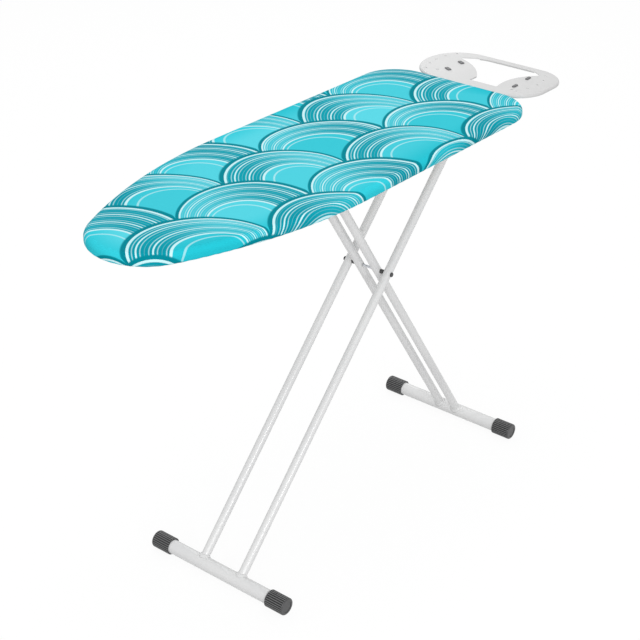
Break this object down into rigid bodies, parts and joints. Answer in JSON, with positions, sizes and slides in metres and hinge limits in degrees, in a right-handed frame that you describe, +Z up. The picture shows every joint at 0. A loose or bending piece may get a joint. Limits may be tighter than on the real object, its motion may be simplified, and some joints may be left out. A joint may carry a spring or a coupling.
{
  "type": "ironing board",
  "caption": "Folding ironing board with a padded tapered top, crossed steel tube legs, a height release lever under the edge and an open iron rest at the square end.",
  "frame": {"origin": "on the floor, under the middle of the board's length with its iron rest, on the board's centre line", "axes": "+Z up, -X towards the nose, +X towards the iron rest, +Y to the left when facing +X"},
  "size_m": [1.344, 0.416, 0.909],
  "materials": {
    "cover_print": "printed cotton, plain weave",
    "pad_foam": "open-cell foam",
    "white_powder_coat": "semi-gloss white powder coat on steel",
    "rest_coat": "semi-gloss pale grey coat on pressed steel",
    "zinc_steel": "bright zinc plate",
    "spring_steel": "oiled spring wire",
    "cap_plastic": "fine-textured dark grey polypropylene",
    "bush_nylon": "natural nylon",
    "pad_silicone": "grey silicone",
    "grip_plastic": "soft dark grey grip sleeve"
  },
  "bodies": {
    "board": {"cover": "cover_print", "foam_pad": "pad_foam", "mesh_top": "white_powder_coat", "rim_channel": "white_powder_coat", "cross_member_front": "white_powder_coat", "cross_member_middle": "white_powder_coat", "cross_member_rear": "white_powder_coat", "guide_channel": "white_powder_coat", "hinge_bracket_left": "white_powder_coat", "hinge_bracket_right": "white_powder_coat", "hinge_pin_left": "zinc_steel", "hinge_pin_right": "zinc_steel", "iron_rest_plate": "rest_coat", "iron_rest_tube_left": "white_powder_coat", "iron_rest_tube_right": "white_powder_coat", "rest_pad_front_left": "pad_silicone", "rest_pad_front_right": "pad_silicone", "rest_pad_rear_left": "pad_silicone", "rest_pad_rear_right": "pad_silicone", "rack_pin": "zinc_steel", "lever_spring": "spring_steel"},
    "height_lever": {"rack_bar": "zinc_steel", "release_lever": "zinc_steel", "lever_grip": "grip_plastic"},
    "outer_legs": {"outer_leg_left": "white_powder_coat", "outer_leg_right": "white_powder_coat", "outer_plug_left": "cap_plastic", "outer_plug_right": "cap_plastic", "front_foot_bar": "white_powder_coat", "front_cap_left": "cap_plastic", "front_cap_right": "cap_plastic", "hinge_bush_left": "bush_nylon", "hinge_bush_right": "bush_nylon", "pivot_axle": "zinc_steel", "pivot_cap_left": "cap_plastic", "pivot_cap_right": "cap_plastic", "pivot_spacer_left": "cap_plastic", "pivot_spacer_right": "cap_plastic"},
    "inner_legs": {"inner_leg_left": "white_powder_coat", "inner_leg_right": "white_powder_coat", "inner_plug_left": "cap_plastic", "inner_plug_right": "cap_plastic", "rear_foot_bar": "white_powder_coat", "rear_cap_left": "cap_plastic", "rear_cap_right": "cap_plastic", "pivot_bush_left": "bush_nylon", "pivot_bush_right": "bush_nylon", "slide_rod": "zinc_steel", "slide_cap_left": "cap_plastic", "slide_cap_right": "cap_plastic", "slide_washer_left": "bush_nylon", "slide_washer_right": "bush_nylon"}
  },
  "joints": [
    {"name": "leg_fold", "type": "hinge", "parent": "board", "child": "outer_legs", "pos_m": [0.40237, 0, 0.862], "axis": [0, 1, 0], "range_deg": [0, 46.75]},
    {"name": "leg_cross", "type": "hinge", "parent": "outer_legs", "child": "inner_legs", "pos_m": [0.124, 0, 0.566], "axis": [0, 1, 0], "range_deg": [-103, 0]},
    {"name": "height_lever", "type": "hinge", "parent": "board", "child": "height_lever", "pos_m": [-0.245, 0, 0.881], "axis": [0, -1, 0], "range_deg": [0, 2], "stiffness_Nm_per_rad": 27, "deforming": ["lever_spring"]}
  ],
  "couplings": [
    {"joint": "leg_cross", "follows": "leg_fold", "ratio": -2.2018}
  ]
}
